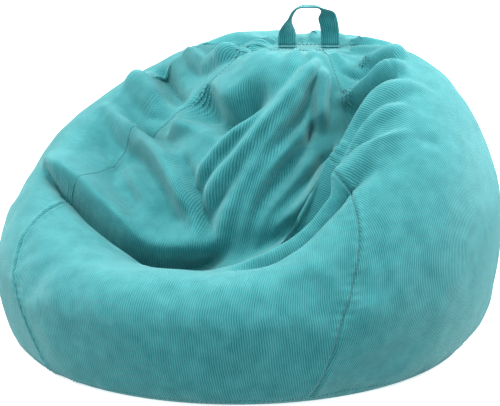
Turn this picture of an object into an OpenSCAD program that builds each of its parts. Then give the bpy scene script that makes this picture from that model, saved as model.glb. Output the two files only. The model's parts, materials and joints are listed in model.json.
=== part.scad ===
// Bean bag chair: four gores, a base and a cap, over a liner full of beads.
// Millimetres. +Z is up, the front of the seat faces -Y, and the origin is on
// the floor under the middle of the bag. Azimuths are degrees from the front,
// turning towards the right-hand side.

/* [Bag] */
// Half of the bag's width, left to right
half_width = 475; // [440:5:510]
// Half of the bag's depth, front to back
half_depth = 440; // [410:5:470]
// Height of the lowest part of the rim, the front edge of the seat
front_height = 205; // [195:5:225]
// Height of the highest part of the rim, behind the backrest
back_height = 538; // [520:2:560]
// Azimuth of the highest part of the rim
peak_azimuth = 142; // [136:1:148]
// Depth of the hollow that a sitter leaves in the seat
seat_dip = 110; // [60:5:115]

/* [Cover] */
// Thickness of the corduroy
cover_thickness = 2.5; // [1.5:0.1:2.8]
// Azimuth of the front left seam on the cap; the others follow every 90 degrees
first_seam = -67; // [-67]
// Radius of the cap that closes the gores
cap_radius = 46; // [40:1:48]
// Height of the flat top that carries the cap
cap_height = 522; // [515:1:530]

/* [Inside] */
// Distance from the cover's outside to the liner
liner_depth = 6; // [5.6:0.1:7]
// Thickness of the liner
liner_thickness = 1.5; // [1:0.1:2]
// Distance from the cover's outside to the bead filling
filling_depth = 8.5; // [8.5:0.1:12]

/* [Handle] */
// Width of the strap
strap_width = 36; // [28:1:36]
// Thickness of the folded strap
strap_thickness = 3; // [2:0.5:3]
// Half of the distance between the middles of the two legs
leg_offset = 42; // [40:1:44]
// Height of the loop above its hinge line
loop_height = 72; // [60:1:90]

/* [Zip] */
// First and last angle of the teeth on their arc
zip_start = -16; // [-16:1:-10]
zip_end = 29; // [20:1:29]
// Half of the gap between the two rows of teeth
row_gap = 0.7; // [0.7:0.1:0.9]
// Length of one tooth along the tape
tooth_length = 2.2; // [2:0.1:2.6]

/* [Hidden] */

// Profile of the bag at its low front and at its high back
front_crown_share = 0.84;
back_crown_share = 0.53;
crown_shift = 8;
front_belly_height = 145;
back_belly_height = 167;
belly_tilt = 17;
front_tuck_depth = 173;
back_tuck_depth = 266;
share_power = 0.48;

// The hollow in the seat: its middle and its spread
dip_centre = [-20, -170];
dip_spread = [220, 120];

// The rim stays low for longer at the front: how much, where and how widely
notch = 0.2;
notch_azimuth = 15;
notch_spread = 28;

// The cap: its middle, and how far along the way in the flat top begins
cap_centre = [117, 125];
flat_start = 0.85;

// Stages of the way from the base's edge (0), over the rim (1), to the cap's
// edge (2) and the middle of the cap (3)
RIM = 1;
CAP_EDGE = 2;

// How far the two front seams swing round the bag, in degrees at each stage
left_swing = [[0, 16], [0.5, 3], [1, -7], [1.3, -27], [1.5, -25], [1.75, -8], [2, 0]];
right_swing = [[0, -9], [0.5, 0], [1, 10], [1.3, 19], [1.5, 22], [1.75, 16], [2, 10]];

outside_rows = 16;
inside_rows = 11;
rows = outside_rows + inside_rows;
// The back right seam's thread stops here, where the handle's right end covers the seam
back_right_last_row = rows - 3;
column_shares = [0, 0.04, 0.15, 0.256, 0.42, 0.58, 0.744, 0.85, 0.96, 1];
gore_angle = 90;
base_stitch_stage = 0.04;

// Stitching and the patch on the cap, as shares of the way to its middle
cap_stitch_shares = [0.08, 0.2];
patch_share = 0.1;
patch_depth = [2.9, 4.1];

// The label beside the back right seam
label_angles = [0.4, 4.2];
label_stages = [0.2, 0.26, 0.32];
label_depth = [-1.2, -0.6];

// The zip's arc lies in the plane of the back left seam
zip_azimuth = first_seam + 3 * gore_angle;
zip_arc_radius = 410;
zip_arc_axis = [37, 184];
slot_half_angle = 0.66;
slot_first_row = 2;
slot_last_row = 10;
slot_blend = [6, 18];
slot_band = [10, 35, 410, 440];
tape_depth = [3.9, 4.6];
tape_span = [0.9, 14];
tape_margin = 1.5;
teeth_depth = [1.3, 3.2];
tooth_width = 1.9;
tooth_pitch = 3.4;
stop_length = 5;
stop_gap = 1;
top_stop_span = [0.4, 3.4];
slider_length = 12;
slider_gap = 0.35;
plate_thickness = 1.3;
plate_half_width = 4.4;
pin_radius = 1;
pin_clearance = 0.06;
pin_height = 3.4;
pull_length = 26;
pull_half_width = 3.2;
pull_thickness = 1.5;
pull_hole_radius = 1.6;
pull_hole_inset = 5;
eye_wall = 1;
ear_half_width = 2.9;
ear_thickness = 0.9;
ear_half_length = 1.8;
ear_rise = 1.6;
ear_clearance = 0.4;

// The handle turns about its bar tacks, just above its sewn ends, which lie on
// the cap's stitching
end_thickness = 2.5;
end_depth = 24;
end_base = cap_height + 1.5;
hinge_height = end_base + end_thickness + 3.5;
tack_radius = 1;
strap_base = hinge_height + 1.3;
thread = 0.6;
thread_lift = 0.8;
strap_rings = 20;
leg_squareness = 0.7;
top_squareness = 0.8;
end_stitch_inset = 3;

function smooth(x) = let (c = min(max(x, 0), 1)) c * c * (3 - 2 * c);
function mix(a, b, t) = a + (b - a) * t;
function heading(az) = [sin(az), -cos(az)];
function unit(v) = v / norm(v);

// How much of the back's profile an azimuth has, from 0 to 1
function back_share(az) = pow(smooth((1 + cos(az - peak_azimuth)) / 2), share_power);
function belly_radius(az) = 1 / sqrt(pow(sin(az) / half_width, 2) + pow(cos(az) / half_depth, 2));
function crown_radius(az) =
    mix(front_crown_share, back_crown_share, back_share(az)) * belly_radius(az) + crown_shift * sin(az);
function belly_height(az) = mix(front_belly_height, back_belly_height, back_share(az)) + belly_tilt * sin(az);
function rim_share(az) = let (off = (az - notch_azimuth + 540) % 360 - 180)
    max(0, back_share(az) - notch * exp(-pow(off / notch_spread, 2)));
function rim_height(az) = mix(front_height, back_height, rim_share(az));
function tuck_depth(az) = mix(front_tuck_depth, back_tuck_depth, back_share(az));
function base_angle(az) = -asin(belly_height(az) / tuck_depth(az));

// How far the profile follows the zip's arc at this azimuth and height
function zip_share(az, z) =
    smooth((slot_blend[1] - abs(az - zip_azimuth)) / (slot_blend[1] - slot_blend[0]))
    * smooth((z - slot_band[0]) / (slot_band[1] - slot_band[0]))
    * smooth((slot_band[3] - z) / (slot_band[3] - slot_band[2]));
function zip_profile(z) =
    zip_arc_axis[0] + sqrt(max(0, pow(zip_arc_radius, 2) - pow(z - zip_arc_axis[1], 2)));

// Azimuth of a seam at a stage; seams are numbered from 0, the front left one
function seam_azimuth(seam, stage) =
    first_seam + gore_angle * seam
    + (seam % 4 == 0 ? lookup(stage, left_swing) : seam % 4 == 1 ? lookup(stage, right_swing) : 0);

// Azimuth of a place between two seams, such as 0.5 for the middle of the front
function azimuth(place, stage) = let (seam = floor(place))
    mix(seam_azimuth(seam, stage), seam_azimuth(seam + 1, stage), place - seam);

// The bulging outside, from the base's edge up to the rim
function outside(s, az) = let (
    angle = mix(base_angle(az), 90, s),
    half_height = angle > 0 ? rim_height(az) - belly_height(az) : tuck_depth(az),
    z = belly_height(az) + half_height * sin(angle),
    plain = mix(crown_radius(az), belly_radius(az), cos(angle)),
    r = mix(plain, zip_profile(z), zip_share(az, z))
) [r * heading(az)[0], r * heading(az)[1], z];

// The seat and the backrest, from the rim to the edge of the cap
function inside(u, az) = let (
    plan = mix(crown_radius(az) * heading(az), cap_centre + cap_radius * heading(az), u),
    rise = pow(smooth(u / flat_start), 2),
    off = plan - dip_centre,
    hollow = seat_dip * exp(-pow(off[0] / dip_spread[0], 2) - pow(off[1] / dip_spread[1], 2)),
    z = mix(rim_height(az), cap_height, rise) - hollow * smooth(3 * u) * (1 - rise)
) [plan[0], plan[1], z];

function cap_point(v, az) =
    let (plan = cap_centre + cap_radius * (1 - v) * heading(az)) [plan[0], plan[1], cap_height];

function bag_point(stage, az) =
    stage <= RIM ? outside(stage, az)
    : stage <= CAP_EDGE ? inside(stage - RIM, az)
    : cap_point(stage - CAP_EDGE, az);

function along(stage, az, step = 0.01) =
    bag_point(min(stage + step, CAP_EDGE), az) - bag_point(max(stage - step, 0), az);
function normal(stage, az, step = 0.5) =
    stage >= CAP_EDGE ? [0, 0, 1]
    : unit(cross(bag_point(stage, az + step) - bag_point(stage, az - step), along(stage, az)));

// A point this deep under the surface; at the base's edge it slides along the
// profile until it is as deep above the floor
function layer(stage, az, depth) = let (
    p = bag_point(stage, az) - depth * normal(stage, az),
    way = along(0, az)
) stage > 0 || depth <= 0 ? p : p + way * (depth - p[2]) / way[2];

function row_stage(i) = i <= outside_rows ? i / outside_rows : RIM + (i - outside_rows) / inside_rows;

// Half the width of the zip's slot, as a share of a gore, at this row
function slot(i) = i >= slot_first_row && i <= slot_last_row ? slot_half_angle / gore_angle : 0;

// A sewn panel between two places round the bag, from one depth to another
module panel(from, to, shares, outer, inner, slot_from = 0, slot_to = 0, stages = []) {
    steps = len(stages) > 0 ? stages : [for (i = [0:rows]) row_stage(i)];
    n = len(steps) - 1;
    m = len(shares) - 1;
    points = [for (d = [outer, inner]) for (i = [0:n]) for (j = [0:m])
        layer(steps[i],
            azimuth(mix(from + slot_from * slot(i), to - slot_to * slot(i), shares[j]), steps[i]), d)];
    grid = (n + 1) * (m + 1);
    function o(i, j) = i * (m + 1) + j;
    function k(i, j) = grid + o(i, j);
    faces = concat(
        [for (i = [0:n - 1]) for (j = [0:m - 1]) each [
            [o(i, j), o(i + 1, j), o(i + 1, j + 1)], [o(i, j), o(i + 1, j + 1), o(i, j + 1)],
            [k(i, j), k(i + 1, j + 1), k(i + 1, j)], [k(i, j), k(i, j + 1), k(i + 1, j + 1)]]],
        [for (j = [0:m - 1]) each [
            [o(0, j), o(0, j + 1), k(0, j + 1)], [o(0, j), k(0, j + 1), k(0, j)],
            [o(n, j + 1), o(n, j), k(n, j)], [o(n, j + 1), k(n, j), k(n, j + 1)]]],
        [for (i = [0:n - 1]) each [
            [o(i + 1, 0), o(i, 0), k(i + 1, 0)], [o(i, 0), k(i, 0), k(i + 1, 0)],
            [o(i, m), o(i + 1, m), k(i + 1, m)], [o(i, m), k(i + 1, m), k(i, m)]]]);
    polyhedron(points, faces);
}

// All the azimuths of a full turn at a stage, one gore after another
function turn(stage) = [for (g = [0:3]) for (j = [0:len(column_shares) - 2])
    azimuth(g + column_shares[j], stage)];
columns_round = len(turn(0));

// A flat round panel in the base, from one height to another
module base_disc(low, high) {
    c = columns_round;
    points = concat([for (az = turn(0)) layer(0, az, low)], [for (az = turn(0)) layer(0, az, high)],
        [[0, 0, low], [0, 0, high]]);
    polyhedron(points, [for (j = [0:c - 1]) let (n = (j + 1) % c) each [
        [j, c + n, n], [j, c + j, c + n], [j, n, 2 * c], [c + n, c + j, 2 * c + 1]]]);
}

// A flat round panel in the top, whose edge meets the gores
module top_disc(outer, inner, share = 0) {
    c = columns_round;
    stage = CAP_EDGE + share;
    middle = [cap_centre[0], cap_centre[1], cap_height];
    points = concat([for (az = turn(stage)) layer(stage, az, outer)],
        [for (az = turn(stage)) layer(stage, az, inner)],
        [middle - [0, 0, outer], middle - [0, 0, inner]]);
    polyhedron(points, [for (j = [0:c - 1]) let (n = (j + 1) % c) each [
        [j, n, c + j], [c + j, n, c + n], [n, j, 2 * c], [c + j, c + n, 2 * c + 1]]]);
}

// A closed mass this deep under the surface all round
module filled_bag(depth) {
    c = columns_round;
    points = concat([for (i = [0:rows]) for (az = turn(row_stage(i))) layer(row_stage(i), az, depth)],
        [[0, 0, depth], [cap_centre[0], cap_centre[1], cap_height - depth]]);
    bottom = (rows + 1) * c;
    polyhedron(points, concat(
        [for (i = [0:rows - 1]) for (j = [0:c - 1]) let (n = (j + 1) % c) each [
            [i * c + j, (i + 1) * c + j, (i + 1) * c + n], [i * c + j, (i + 1) * c + n, i * c + n]]],
        [for (j = [0:c - 1]) let (n = (j + 1) % c) each [
            [j, n, bottom], [rows * c + n, rows * c + j, bottom + 1]]]));
}

// A thread that lies on the surface along these [stage, azimuth] places
module surface_thread(places, closed = false, depth = -thread_lift) {
    n = len(places);
    on = [for (p = places) bag_point(p[0], p[1])];
    function way(i) =
        closed ? on[(i + 1) % n] - on[(i + n - 1) % n]
        : on[min(i + 1, n - 1)] - on[max(i - 1, 0)];
    points = [for (i = [0:n - 1]) let (
        p = places[i], out = normal(p[0], p[1]), side = unit(cross(out, way(i)))
    ) for (a = [0:90:270]) layer(p[0], p[1], depth) + thread * (cos(a) * out + sin(a) * side)];
    last = closed ? n - 1 : n - 2;
    walls = [for (i = [0:last]) for (a = [0:3])
        let (b = (a + 1) % 4, q = (i + 1) % n) each [
            [4 * i + a, 4 * i + b, 4 * q + b], [4 * i + a, 4 * q + b, 4 * q + a]]];
    ends = closed ? [] : [[0, 2, 1], [0, 3, 2],
        [4 * n - 4, 4 * n - 3, 4 * n - 2], [4 * n - 4, 4 * n - 2, 4 * n - 1]];
    polyhedron(points, [for (f = concat(walls, ends)) [f[2], f[1], f[0]]]);
}

module seam_thread(seam, first_row = 1, last_row = rows, depth = -thread_lift) {
    surface_thread([for (i = [first_row:last_row]) let (stage = row_stage(i)) [stage, seam_azimuth(seam, stage)]],
        depth = depth);
}

// Places things along the zip's arc: x across the seam, y out of the bag
module on_zip_arc(angle = 0) {
    rotate([0, 0, zip_azimuth])
        translate([0, -zip_arc_axis[0], zip_arc_axis[1]])
        rotate([0, 90, 0]) rotate([0, 0, angle]) children();
}

// A strip that follows the arc from one angle to another, deep and across
module arc_strip(from, to, depth, span) {
    on_zip_arc(-90 - to) rotate_extrude(angle = to - from, $fn = 200)
        translate([zip_arc_radius - depth[1], 0])
        polygon([[0, span[0]], [depth[1] - depth[0], span[0]], [depth[1] - depth[0], span[1]], [0, span[1]]]);
}

function arc_degrees(length) = length / zip_arc_radius * 180 / PI;

module zip_tape(side) {
    color("darkcyan") mirror_across(side)
        arc_strip(zip_start - tape_margin, zip_end + tape_margin, tape_depth, tape_span);
}

module mirror_across(side) {
    rotate([0, 0, zip_azimuth]) mirror([side < 0 ? 1 : 0, 0, 0]) rotate([0, 0, -zip_azimuth]) children();
}

module zip_teeth(side) {
    count = floor((zip_end - zip_start) / arc_degrees(tooth_pitch));
    color("teal") mirror_across(side) for (i = [0:count - 1]) {
        at = zip_start + i * arc_degrees(tooth_pitch);
        arc_strip(at, at + arc_degrees(tooth_length), teeth_depth, [row_gap, row_gap + tooth_width]);
    }
}

module front_panel() {
    color("darkcyan") panel(0, 1, column_shares, 0, cover_thickness);
}

module right_panel() {
    color("cadetblue") panel(1, 2, column_shares, 0, cover_thickness);
}

module back_panel() {
    color("darkcyan") panel(2, 3, column_shares, 0, cover_thickness, slot_to = 1);
}

module left_panel() {
    color("cadetblue") panel(3, 4, column_shares, 0, cover_thickness, slot_from = 1);
}

module base_panel() {
    color("darkcyan") base_disc(0, cover_thickness);
}

module top_cap() {
    color("mediumturquoise") top_disc(0, cover_thickness);
}

module front_left_stitching() {
    color("teal") seam_thread(0);
}

module front_right_stitching() {
    color("teal") seam_thread(1);
}

module back_right_stitching() {
    color("teal") seam_thread(2, last_row = back_right_last_row);
}

module back_left_stitching() {
    color("teal") seam_thread(3, slot_last_row + 2);
}

module base_stitching() {
    color("teal") surface_thread([for (az = turn(base_stitch_stage)) [base_stitch_stage, az]], closed = true);
}

module cap_stitching() {
    color("teal") for (share = cap_stitch_shares)
        surface_thread([for (az = turn(CAP_EDGE)) [CAP_EDGE + share, az]], closed = true);
}

module cap_reinforcement() {
    color("white") top_disc(patch_depth[0], patch_depth[1], patch_share);
}

module care_label() {
    color("white") panel(2 + label_angles[0] / gore_angle, 2 + label_angles[1] / gore_angle, [0, 0.5, 1],
        label_depth[0], label_depth[1], stages = label_stages);
}

// Middle of the strap, from one sewn end over the top to the other
function strap_centre(a) = [
    cap_centre[0] - leg_offset * sign(cos(a)) * pow(abs(cos(a)), leg_squareness),
    cap_centre[1],
    strap_base + loop_height * pow(sin(a), top_squareness)
];

// The strap's width points along X at its ends and along Y at the top
function strap_frame(a) = let (
    way = a <= 0 ? [0, 0, 1] : a >= 180 ? [0, 0, -1]
        : unit(strap_centre(min(a + 2, 180)) - strap_centre(max(a - 2, 0))),
    flat = [cos(a), sin(a), 0],
    wide = unit(flat - (flat * way) * way)
) [wide, cross(way, wide)];

module handle_strap() {
    angles = [for (i = [0:strap_rings]) 180 * i / strap_rings];
    points = [for (a = angles) let (f = strap_frame(a)) for (c = [[-1, -1], [1, -1], [1, 1], [-1, 1]])
        strap_centre(a) + f[0] * c[0] * strap_width / 2 + f[1] * c[1] * strap_thickness / 2];
    n = strap_rings;
    walls = [for (i = [0:n - 1]) for (a = [0:3]) let (b = (a + 1) % 4) each [
        [4 * i + a, 4 * i + 4 + b, 4 * i + b], [4 * i + a, 4 * i + 4 + a, 4 * i + 4 + b]]];
    color("mediumturquoise") polyhedron(points, concat(walls, [[0, 1, 2], [0, 2, 3],
        [4 * n, 4 * n + 2, 4 * n + 1], [4 * n, 4 * n + 3, 4 * n + 2]]));
}

module handle_end(side) {
    color("mediumturquoise")
        translate([cap_centre[0] + side * leg_offset - strap_width / 2,
            cap_centre[1] - end_depth / 2, end_base])
        cube([strap_width, end_depth, end_thickness]);
}

module handle_end_left() {
    handle_end(-1);
}

module handle_end_right() {
    handle_end(1);
}

// A square of thread on each sewn end
module handle_end_stitching() {
    wide = strap_width - 2 * end_stitch_inset;
    deep = end_depth - 2 * end_stitch_inset;
    color("teal") for (side = [-1, 1])
        translate([cap_centre[0] + side * leg_offset, cap_centre[1], end_base + end_thickness])
        linear_extrude(thread) difference() {
            square([wide, deep], center = true);
            square([wide - 2 * thread, deep - 2 * thread], center = true);
        }
}

// A dense bar of thread across each leg, where the strap bends
module handle_bar_tacks() {
    color("teal") for (side = [-1, 1])
        translate([cap_centre[0] + side * leg_offset, cap_centre[1], hinge_height])
        rotate([0, 90, 0]) cylinder(r = tack_radius, h = strap_width, center = true, $fn = 32);
}

module zip_tape_left() {
    zip_tape(1);
}

module zip_tape_right() {
    zip_tape(-1);
}

module zip_teeth_left() {
    zip_teeth(1);
}

module zip_teeth_right() {
    zip_teeth(-1);
}

// One stop bridges both rows below the teeth
module zip_bottom_stop() {
    top = zip_start - arc_degrees(stop_gap);
    color("silver") arc_strip(top - arc_degrees(stop_length), top, teeth_depth,
        [-tooth_width - row_gap, tooth_width + row_gap]);
}

// A stop above the teeth on each row
module zip_top_stops() {
    color("silver") for (side = [-1, 1]) mirror_across(side)
        arc_strip(zip_end + arc_degrees(top_stop_span[0]), zip_end + arc_degrees(top_stop_span[1]),
            teeth_depth, [row_gap, row_gap + tooth_width]);
}

// Two plates joined by a thin web that runs between the rows of teeth
slider_from = zip_start + arc_degrees(0.5);
slider_to = slider_from + arc_degrees(slider_length);
pin_angle = slider_to - arc_degrees(slider_length / 2);

module zip_slider() {
    top = teeth_depth[0] - slider_gap;
    outside_face = top - plate_thickness;
    web = row_gap - slider_gap;
    inner_face = tape_depth[1] + slider_gap;
    color("silver") union() {
        arc_strip(slider_from, slider_to, [outside_face, top], [-plate_half_width, plate_half_width]);
        arc_strip(slider_from, slider_to, [outside_face, inner_face + plate_thickness / 2], [-web, web]);
        arc_strip(slider_from, slider_to, [inner_face, inner_face + plate_thickness / 2],
            [-plate_half_width + 1, plate_half_width - 1]);
        for (side = [-1, 1]) mirror_across(side)
            arc_strip(pin_angle - arc_degrees(ear_half_length), pin_angle + arc_degrees(ear_half_length),
                [-pin_height - ear_rise, top], [ear_half_width, ear_half_width + ear_thickness]);
        pull_pin(pin_radius, 2 * ear_half_width + ear_thickness);
    }
}

// A cylinder on the axis that the pull turns about
module pull_pin(radius, length) {
    on_zip_arc(-90 - pin_angle) translate([zip_arc_radius + pin_height, 0, 0])
        cylinder(r = radius, h = length, center = true, $fn = 48);
}

// The pull: an eye round the pin and a flat tab that hangs down from it
module zip_pull() {
    eye = pin_radius + pin_clearance;
    color("silver") difference() {
        union() {
            pull_pin(eye + eye_wall, 2 * (ear_half_width - ear_clearance));
            on_zip_arc(-90 - pin_angle) translate([zip_arc_radius + pin_height, 0, 0])
                pull_tab();
        }
        pull_pin(eye, 3 * ear_half_width);
    }
}

// The tab starts as narrow as the eye and widens below the ears
module pull_tab() {
    half = ear_half_width - ear_clearance;
    neck = pull_length / 2;
    translate([-pull_thickness / 2, 0, -half]) cube([pull_thickness, neck, 2 * half]);
    difference() {
        translate([-pull_thickness / 2, neck - eye_wall, -pull_half_width])
            cube([pull_thickness, neck, 2 * pull_half_width]);
        translate([0, pull_length - pull_hole_inset, 0]) rotate([0, 90, 0])
            cylinder(r = pull_hole_radius, h = 2 * pull_thickness, center = true, $fn = 32);
    }
}

// The liner's two halves meet along the lines of two of the cover's seams
liner_shares = [for (h = [0, 1]) for (j = [0:len(column_shares) - 2]) (h + column_shares[j]) / 2];

module liner_half(from) {
    color("whitesmoke") panel(from, from + 2, concat(liner_shares, [1]),
        liner_depth, liner_depth + liner_thickness);
}

module liner_front() {
    liner_half(0);
}

module liner_back() {
    liner_half(2);
}

module liner_base() {
    color("whitesmoke") base_disc(liner_depth, liner_depth + liner_thickness);
}

module liner_top() {
    color("whitesmoke") top_disc(liner_depth, liner_depth + liner_thickness);
}

// Thread along the liner's two seams, outside the liner
module liner_stitching() {
    color("gainsboro") for (seam = [0, 2]) seam_thread(seam, depth = liner_depth - thread_lift);
}

module bead_filling() {
    color("white") filled_bag(filling_depth);
}

front_panel();
right_panel();
back_panel();
left_panel();
base_panel();
top_cap();
front_left_stitching();
front_right_stitching();
back_right_stitching();
back_left_stitching();
base_stitching();
cap_stitching();
cap_reinforcement();
care_label();
handle_strap();
handle_end_left();
handle_end_right();
handle_end_stitching();
handle_bar_tacks();
zip_tape_left();
zip_tape_right();
zip_teeth_left();
zip_teeth_right();
zip_bottom_stop();
zip_top_stops();
zip_slider();
zip_pull();
liner_front();
liner_back();
liner_base();
liner_top();
liner_stitching();
bead_filling();
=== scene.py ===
"""Bean bag chair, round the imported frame: the slouched corduroy cover with its
folds, seams and wales, the carry loop, the zip, the liner and the beads.
Metres; +Z up, the front of the seat faces -Y. Azimuths are degrees from the
front, turning towards +X."""
import json
import math

import bpy
import numpy as np
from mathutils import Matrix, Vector, noise
from mathutils.kdtree import KDTree

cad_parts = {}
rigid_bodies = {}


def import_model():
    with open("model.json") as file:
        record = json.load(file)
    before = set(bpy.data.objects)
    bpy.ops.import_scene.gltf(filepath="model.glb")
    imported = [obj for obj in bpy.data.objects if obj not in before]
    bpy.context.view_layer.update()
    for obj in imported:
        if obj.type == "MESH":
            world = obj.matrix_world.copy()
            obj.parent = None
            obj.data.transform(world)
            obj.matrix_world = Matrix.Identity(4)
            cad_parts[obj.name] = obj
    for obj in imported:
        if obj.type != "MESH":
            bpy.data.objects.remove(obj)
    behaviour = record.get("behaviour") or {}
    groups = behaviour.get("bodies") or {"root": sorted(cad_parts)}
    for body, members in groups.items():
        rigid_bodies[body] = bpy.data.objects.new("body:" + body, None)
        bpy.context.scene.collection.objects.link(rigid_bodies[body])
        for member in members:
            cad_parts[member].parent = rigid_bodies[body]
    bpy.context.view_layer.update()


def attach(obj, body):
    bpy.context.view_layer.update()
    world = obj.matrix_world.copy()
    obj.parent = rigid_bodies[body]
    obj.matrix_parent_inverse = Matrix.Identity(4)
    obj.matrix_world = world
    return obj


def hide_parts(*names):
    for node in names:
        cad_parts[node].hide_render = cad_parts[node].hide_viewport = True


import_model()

# ---------------------------------------------------------------- driving sizes

# The outside, seen from above and in profile
HALF_WIDTH, HALF_DEPTH = 0.475, 0.440
CROWN_FRONT, CROWN_BACK, CROWN_SHIFT = 0.84, 0.53, 0.008
BELLY_FRONT, BELLY_BACK, BELLY_SHIFT = 0.145, 0.167, 0.017
TUCK_FRONT, TUCK_BACK = 0.173, 0.266

# The rim, from the low front up to the back, with a notch at the front right
FRONT_RIM, BACK_RIM = 0.205, 0.538
PEAK_AZIMUTH, PEAK_POWER = 142.0, 0.48
NOTCH, NOTCH_AZIMUTH, NOTCH_SPREAD = 0.20, 15.0, 28.0

# The hollow of the seat, and the sewn cap
SEAT_DIP = 0.110
DIP_CENTRE = np.array([-0.020, -0.170])
DIP_SPREAD = np.array([0.220, 0.120])
CAP_CENTRE = np.array([0.117, 0.125])
CAP_RADIUS, CAP_HEIGHT = 0.046, 0.522
CAP_PLAIN = np.array([0.066, 0.052])
CAP_STITCHES = (0.92, 0.80)
FLAT_START = 0.85

# The seams; the two front ones swing round the bag, in degrees at each stage
FIRST_SEAM, ZIP_SEAM = -67.0, 203.0
SWING_STAGES = (0, 0.5, 1.0, 1.3, 1.5, 1.75, 2.0)
LEFT_SWING = (16, 3, -7, -27, -25, -8, 0)
RIGHT_SWING = (-9, 0, 10, 19, 22, 16, 10)
BASE_STITCH_STAGE, ABOVE_ZIP_STAGE = 0.04, 0.75

# The layers, as depths under the cloth's face
COVER = 0.0025
LINER_DEPTH, LINER = 0.006, 0.0015
FILLING_DEPTH = 0.0085
SINK_REACH, SINK_SHARE, SINK_EASE = 7, 1.15, 8

# The zip's arc, how far round and up its flat band runs, and its slot
ZIP_ARC_RADIUS, ZIP_ARC_OFFSET, ZIP_ARC_HEIGHT = 0.410, 0.037, 0.184
ZIP_BLEND = (6.0, 18.0)
ZIP_BAND = (0.010, 0.035, 0.410, 0.440)
SLOT_HALF_WIDTH, SLOT_STAGES = 0.0047, (0.0625, 0.125, 0.625, 0.6875)
SLOT_CROWD = 8
# How far round, in degrees, and how high the cloth by the zip stays smooth
ZIP_PLAIN_ANGLE, ZIP_PLAIN_TOP = 20, 0.46

# The grid of points that the cover is cut from
GORE_COLUMNS = 150
COLUMNS = 4 * GORE_COLUMNS
EDGE_CROWDING = 0.65
OUTSIDE_ROWS, INSIDE_ROWS = 120, 150
GORE_ROWS = OUTSIDE_ROWS + INSIDE_ROWS + 1
DISC_SHARES = (0.02, 0.2, 0.4, 0.6, 0.8, 0.95)

# The cloth
WALE_PITCH = 0.0040
FOLD_SCALE = 1.3
# Points on each side over which a fold's line is evened out
CURVE_EASE = 4
# The shares of its length over which a fold rises at its start and sinks at its end
FOLD_ENDS = (0.3, 0.3)
# How narrow a tube of cloth gets at its ends, and how much of a pleat is its steep side
TUBE_TAPER, STEEP_SIDE = 0.5, 0.28
GATHER_PITCH, GATHER_HEIGHT, GATHER_REACH = 0.017, 0.0009, 0.014
GROOVE_DEPTH, GROOVE_WIDTH = 0.0024, 0.0030
EDGE_RISE, EDGE_OFFSET, EDGE_WIDTH = 0.0012, 0.0085, 0.005
CAP_FOLD_HEIGHT, CAP_BROAD_FOLDS, CAP_FINE_FOLDS = 0.0055, 13, 23
# Size, height and seed of the lumps that the beads make
LUMPS = ((0.11, 0.006, 3.0), (0.045, 0.0018, 9.0))

# The cloth simulation: every third point, its frames, how far a point may move, and
# the least hold on a point
SIM_STEP, SIM_FRAMES, SIM_LIMIT, SIM_HOLD = 3, 20, 0.006, 0.06
SIM_CLOTH = dict(quality=6, mass=0.25, tension_stiffness=12, compression_stiffness=8, bending_stiffness=0.4,
                 shrink_min=-0.035, use_pressure=True, uniform_pressure_force=2.5, pin_stiffness=1.0)

# The carry loop
LEG_OFFSET, LOOP_HEIGHT = 0.042, 0.075
STRAP_WIDTH, STRAP_THICKNESS = 0.036, 0.0040
STRAP_SEAM = 0.011
STRAP_TWIST = 78.0
END_BASE, END_THICKNESS, END_DEPTH = 0.5235, 0.0025, 0.024
STRAP_FOOT = 0.527
# Half the width, and the length, of the cloth that the folded loop comes down on
FOLDED_HALF_WIDTH, FOLDED_LENGTH = 0.085, 0.095

# The camera and the studio
CAMERA_AIM = Vector((0.0027, -0.0096, 0.244))
CAMERA_DISTANCE, CAMERA_LIFT = 2.6, 15
SENSOR, LENS = 36, 98.1
# Name, place, aim, size and power of each lamp
LAMPS = (
    ("key", (-0.1, -0.6, 2.7), (0, 0, 0.2), 0.5, 30),
    ("left", (-2.1, 0.4, 1.5), (0, 0, 0.3), 1.0, 20),
    ("right", (2.2, 0.6, 1.7), (0, 0, 0.3), 1.0, 60),
)
SKY_STRENGTH, SKY_LOW, SKY_HIGH, SKY_TOP = 1.38, (0.62, 0.62, 0.63, 1), (1.0, 1.0, 1.0, 1), 0.8


# ---------------------------------------------------------------- the bag's surface

def smooth(x):
    """Runs gently from 0 up to 1."""
    c = np.clip(x, 0, 1)
    return c * c * (3 - 2 * c)


def mix(a, b, t):
    """From a, at 0, to b, at 1."""
    return a + (b - a) * t


def heading(az):
    """The direction of an azimuth, in plan."""
    turn = np.radians(az)
    return np.stack([np.sin(turn), -np.cos(turn)], -1)


def back_share(az):
    """0 at the front of the bag and 1 at its peak, at the back."""
    return smooth((1 + np.cos(np.radians(az - PEAK_AZIMUTH))) / 2) ** PEAK_POWER


def rim_height(az):
    off = (az - NOTCH_AZIMUTH + 180) % 360 - 180
    share = back_share(az) - NOTCH * np.exp(-(off / NOTCH_SPREAD) ** 2)
    return mix(FRONT_RIM, BACK_RIM, np.maximum(share, 0))


def belly_radius(az):
    s, c = np.sin(np.radians(az)), np.cos(np.radians(az))
    return 1 / np.sqrt((s / HALF_WIDTH) ** 2 + (c / HALF_DEPTH) ** 2)


def crown_radius(az):
    return (mix(CROWN_FRONT, CROWN_BACK, back_share(az)) * belly_radius(az)
            + CROWN_SHIFT * np.sin(np.radians(az)))


def zip_share(az, z):
    """How far the profile follows the arc that the zip lies on."""
    beside = np.abs((az - ZIP_SEAM + 180) % 360 - 180)
    low, lowest, high, highest = ZIP_BAND
    return (smooth((ZIP_BLEND[1] - beside) / (ZIP_BLEND[1] - ZIP_BLEND[0]))
            * smooth((z - low) / (lowest - low)) * smooth((highest - z) / (highest - high)))


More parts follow.
